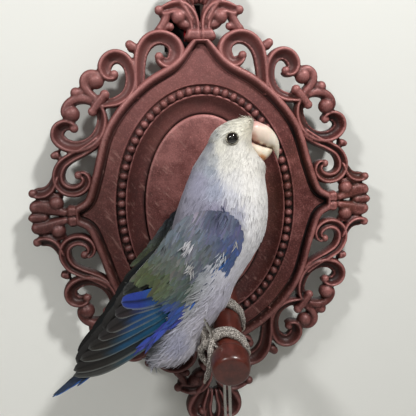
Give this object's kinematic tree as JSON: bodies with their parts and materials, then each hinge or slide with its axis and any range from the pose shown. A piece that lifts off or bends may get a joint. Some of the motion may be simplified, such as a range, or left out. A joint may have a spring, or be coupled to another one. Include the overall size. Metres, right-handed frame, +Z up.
{
  "type": "wall-mounted bird display plaque",
  "caption": "Small preserved parrot perched on a turned peg that leaves an openwork oval wall plaque with a bead ring, a hollow back, a backing board and a swinging hanging ring.",
  "frame": {"origin": "middle of the backing board's rear face, on the wall plane", "axes": "+X to the viewer's right, +Y into the wall, +Z up"},
  "size_m": [0.1906, 0.0822, 0.26],
  "materials": {
    "plaque": "satin reddish mauve-brown paint on a cast plaque, fine grained",
    "board": "plain hardboard",
    "steel": "zinc plated",
    "foam": "black closed-cell foam",
    "liner": "red release film",
    "peg": "stained and varnished, semi-gloss",
    "plumage": "white and grey-lavender contour feathers",
    "form": "wound wood wool",
    "bone": "dry bone, filled with modelling compound",
    "bill": "ivory horn, satin",
    "eye": "black glass, polished",
    "flight_feathers": "teal-blue, violet and black flight feathers",
    "feet": "dry scaled skin, grey-white",
    "claw": "grey horn",
    "wire": "bright drawn steel wire"
  },
  "bodies": {
    "mounted_plaque": {"medallion": "plaque", "bead_ring": "plaque", "oval_panel": "plaque", "scroll_upper_right": "plaque", "scroll_upper_left": "plaque", "scroll_lower_right": "plaque", "scroll_lower_left": "plaque", "crest": "plaque", "pendant": "plaque", "side_finial_right": "plaque", "side_finial_left": "plaque", "backing_board": "board", "backing_screws": "steel", "hanger_strap": "steel", "strap_screw": "steel", "foam_pad": "foam", "pad_liner": "liner", "perch_peg": "peg", "peg_screw": "steel", "peg_washer": "steel", "body_skin": "plumage", "body_form": "form", "head_skin": "plumage", "skull": "bone", "upper_bill": "bill", "lower_bill": "bill", "eye_right": "eye", "eye_left": "eye", "wing_right": "flight_feathers", "wing_left": "flight_feathers", "tail_feathers": "flight_feathers", "leg_right": "plumage", "leg_left": "plumage", "foot_right": "feet", "foot_left": "feet", "claws_right": "claw", "claws_left": "claw", "leg_wire_right": "wire", "leg_wire_left": "wire", "neck_wire": "wire", "tail_wire": "wire"},
    "ring": {"hanger_ring": "steel"}
  },
  "joints": [
    {"name": "ring_hinge", "type": "hinge", "parent": "mounted_plaque", "child": "ring", "pos_m": [0, -0.0052, 0.058], "axis": [1, 0, 0], "range_deg": [0, 170]}
  ]
}
